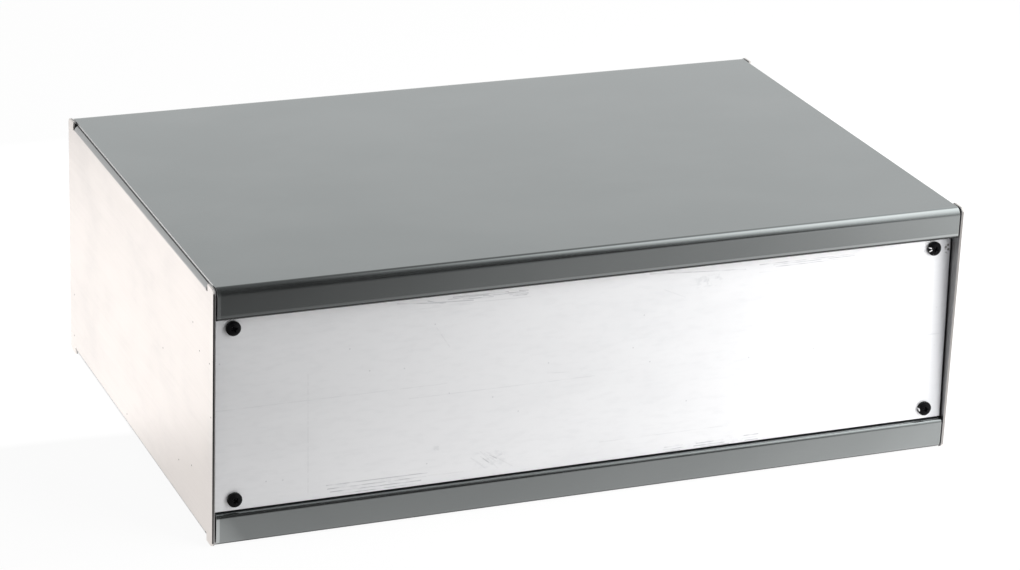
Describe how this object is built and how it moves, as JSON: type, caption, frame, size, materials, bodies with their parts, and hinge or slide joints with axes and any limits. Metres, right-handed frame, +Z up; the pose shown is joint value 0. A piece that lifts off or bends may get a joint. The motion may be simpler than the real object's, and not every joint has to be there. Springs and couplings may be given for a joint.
{
  "type": "steel instrument case",
  "caption": "Low sheet-metal case: folded top and bottom covers with lips over folded side panels, and flat front and rear panels screwed on behind the lips.",
  "frame": {"origin": "middle of the case's base, on the surface that it stands on", "axes": "+Z up, +X to the right along the width as seen from the front, -Y out of the front panel"},
  "size_m": [0.305, 0.2, 0.102],
  "materials": {
    "cover_coating": "smooth satin grey coating on steel sheet",
    "side_steel": "bare zinc-plated steel sheet, satin",
    "panel_aluminium": "bare satin aluminium with fine handling scratches",
    "black_screw": "black passivated steel"
  },
  "bodies": {
    "root": {"top_cover": "cover_coating", "bottom_cover": "cover_coating", "left_side_panel": "side_steel", "right_side_panel": "side_steel", "front_panel": "panel_aluminium", "rear_panel": "panel_aluminium", "front_panel_screws": "black_screw", "rear_panel_screws": "black_screw"}
  },
  "joints": []
}
